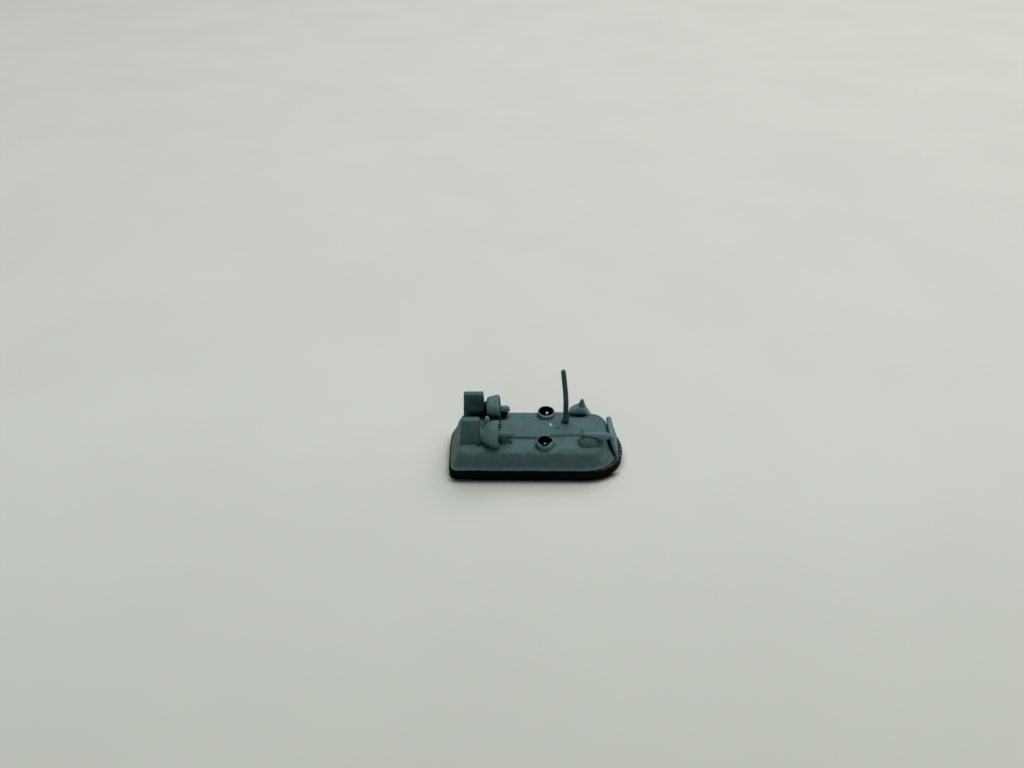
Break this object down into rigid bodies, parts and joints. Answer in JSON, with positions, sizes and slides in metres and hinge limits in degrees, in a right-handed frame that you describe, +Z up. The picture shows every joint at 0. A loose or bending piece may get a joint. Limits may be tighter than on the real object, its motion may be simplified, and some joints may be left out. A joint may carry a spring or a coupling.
{
  "type": "miniature assault hovercraft",
  "caption": "Painted cast miniature of a ramped assault hovercraft with ducted propellers and tall fins aft, lift-fan intakes on its shoulders, a mast and a flat base.",
  "frame": {"origin": "on the floor, under the middle of the length and of the beam", "axes": "+X towards the bow and its ramp, +Y to port, +Z up"},
  "size_m": [0.0412, 0.0162, 0.025],
  "materials": {
    "hull_paint": "matt hand-brushed blue-grey paint over white metal",
    "shade_paint": "matt darker blue-grey paint over white metal",
    "black_paint": "satin black paint over white metal",
    "white_paint": "dot of light paint"
  },
  "bodies": {
    "root": {"skirt_band": "black_paint", "hull_body": "hull_paint", "centre_deckhouse": "hull_paint", "bow_platform": "hull_paint", "bow_ramp": "hull_paint", "intake_ring_port": "hull_paint", "intake_ring_starboard": "hull_paint", "intake_well_port": "black_paint", "intake_well_starboard": "black_paint", "intake_hub_port": "white_paint", "intake_hub_starboard": "white_paint", "propeller_duct_port": "hull_paint", "propeller_duct_starboard": "hull_paint", "propeller_disc_port": "shade_paint", "propeller_disc_starboard": "shade_paint", "nacelle_port": "hull_paint", "nacelle_starboard": "hull_paint", "pylon_port": "shade_paint", "pylon_starboard": "shade_paint", "fin_port": "hull_paint", "fin_starboard": "hull_paint", "stern_cowl": "hull_paint", "mast": "shade_paint", "mast_foot": "shade_paint", "wheelhouse": "hull_paint", "wheelhouse_post": "hull_paint", "gun_house": "hull_paint", "gun_barrel": "hull_paint"}
  },
  "joints": []
}
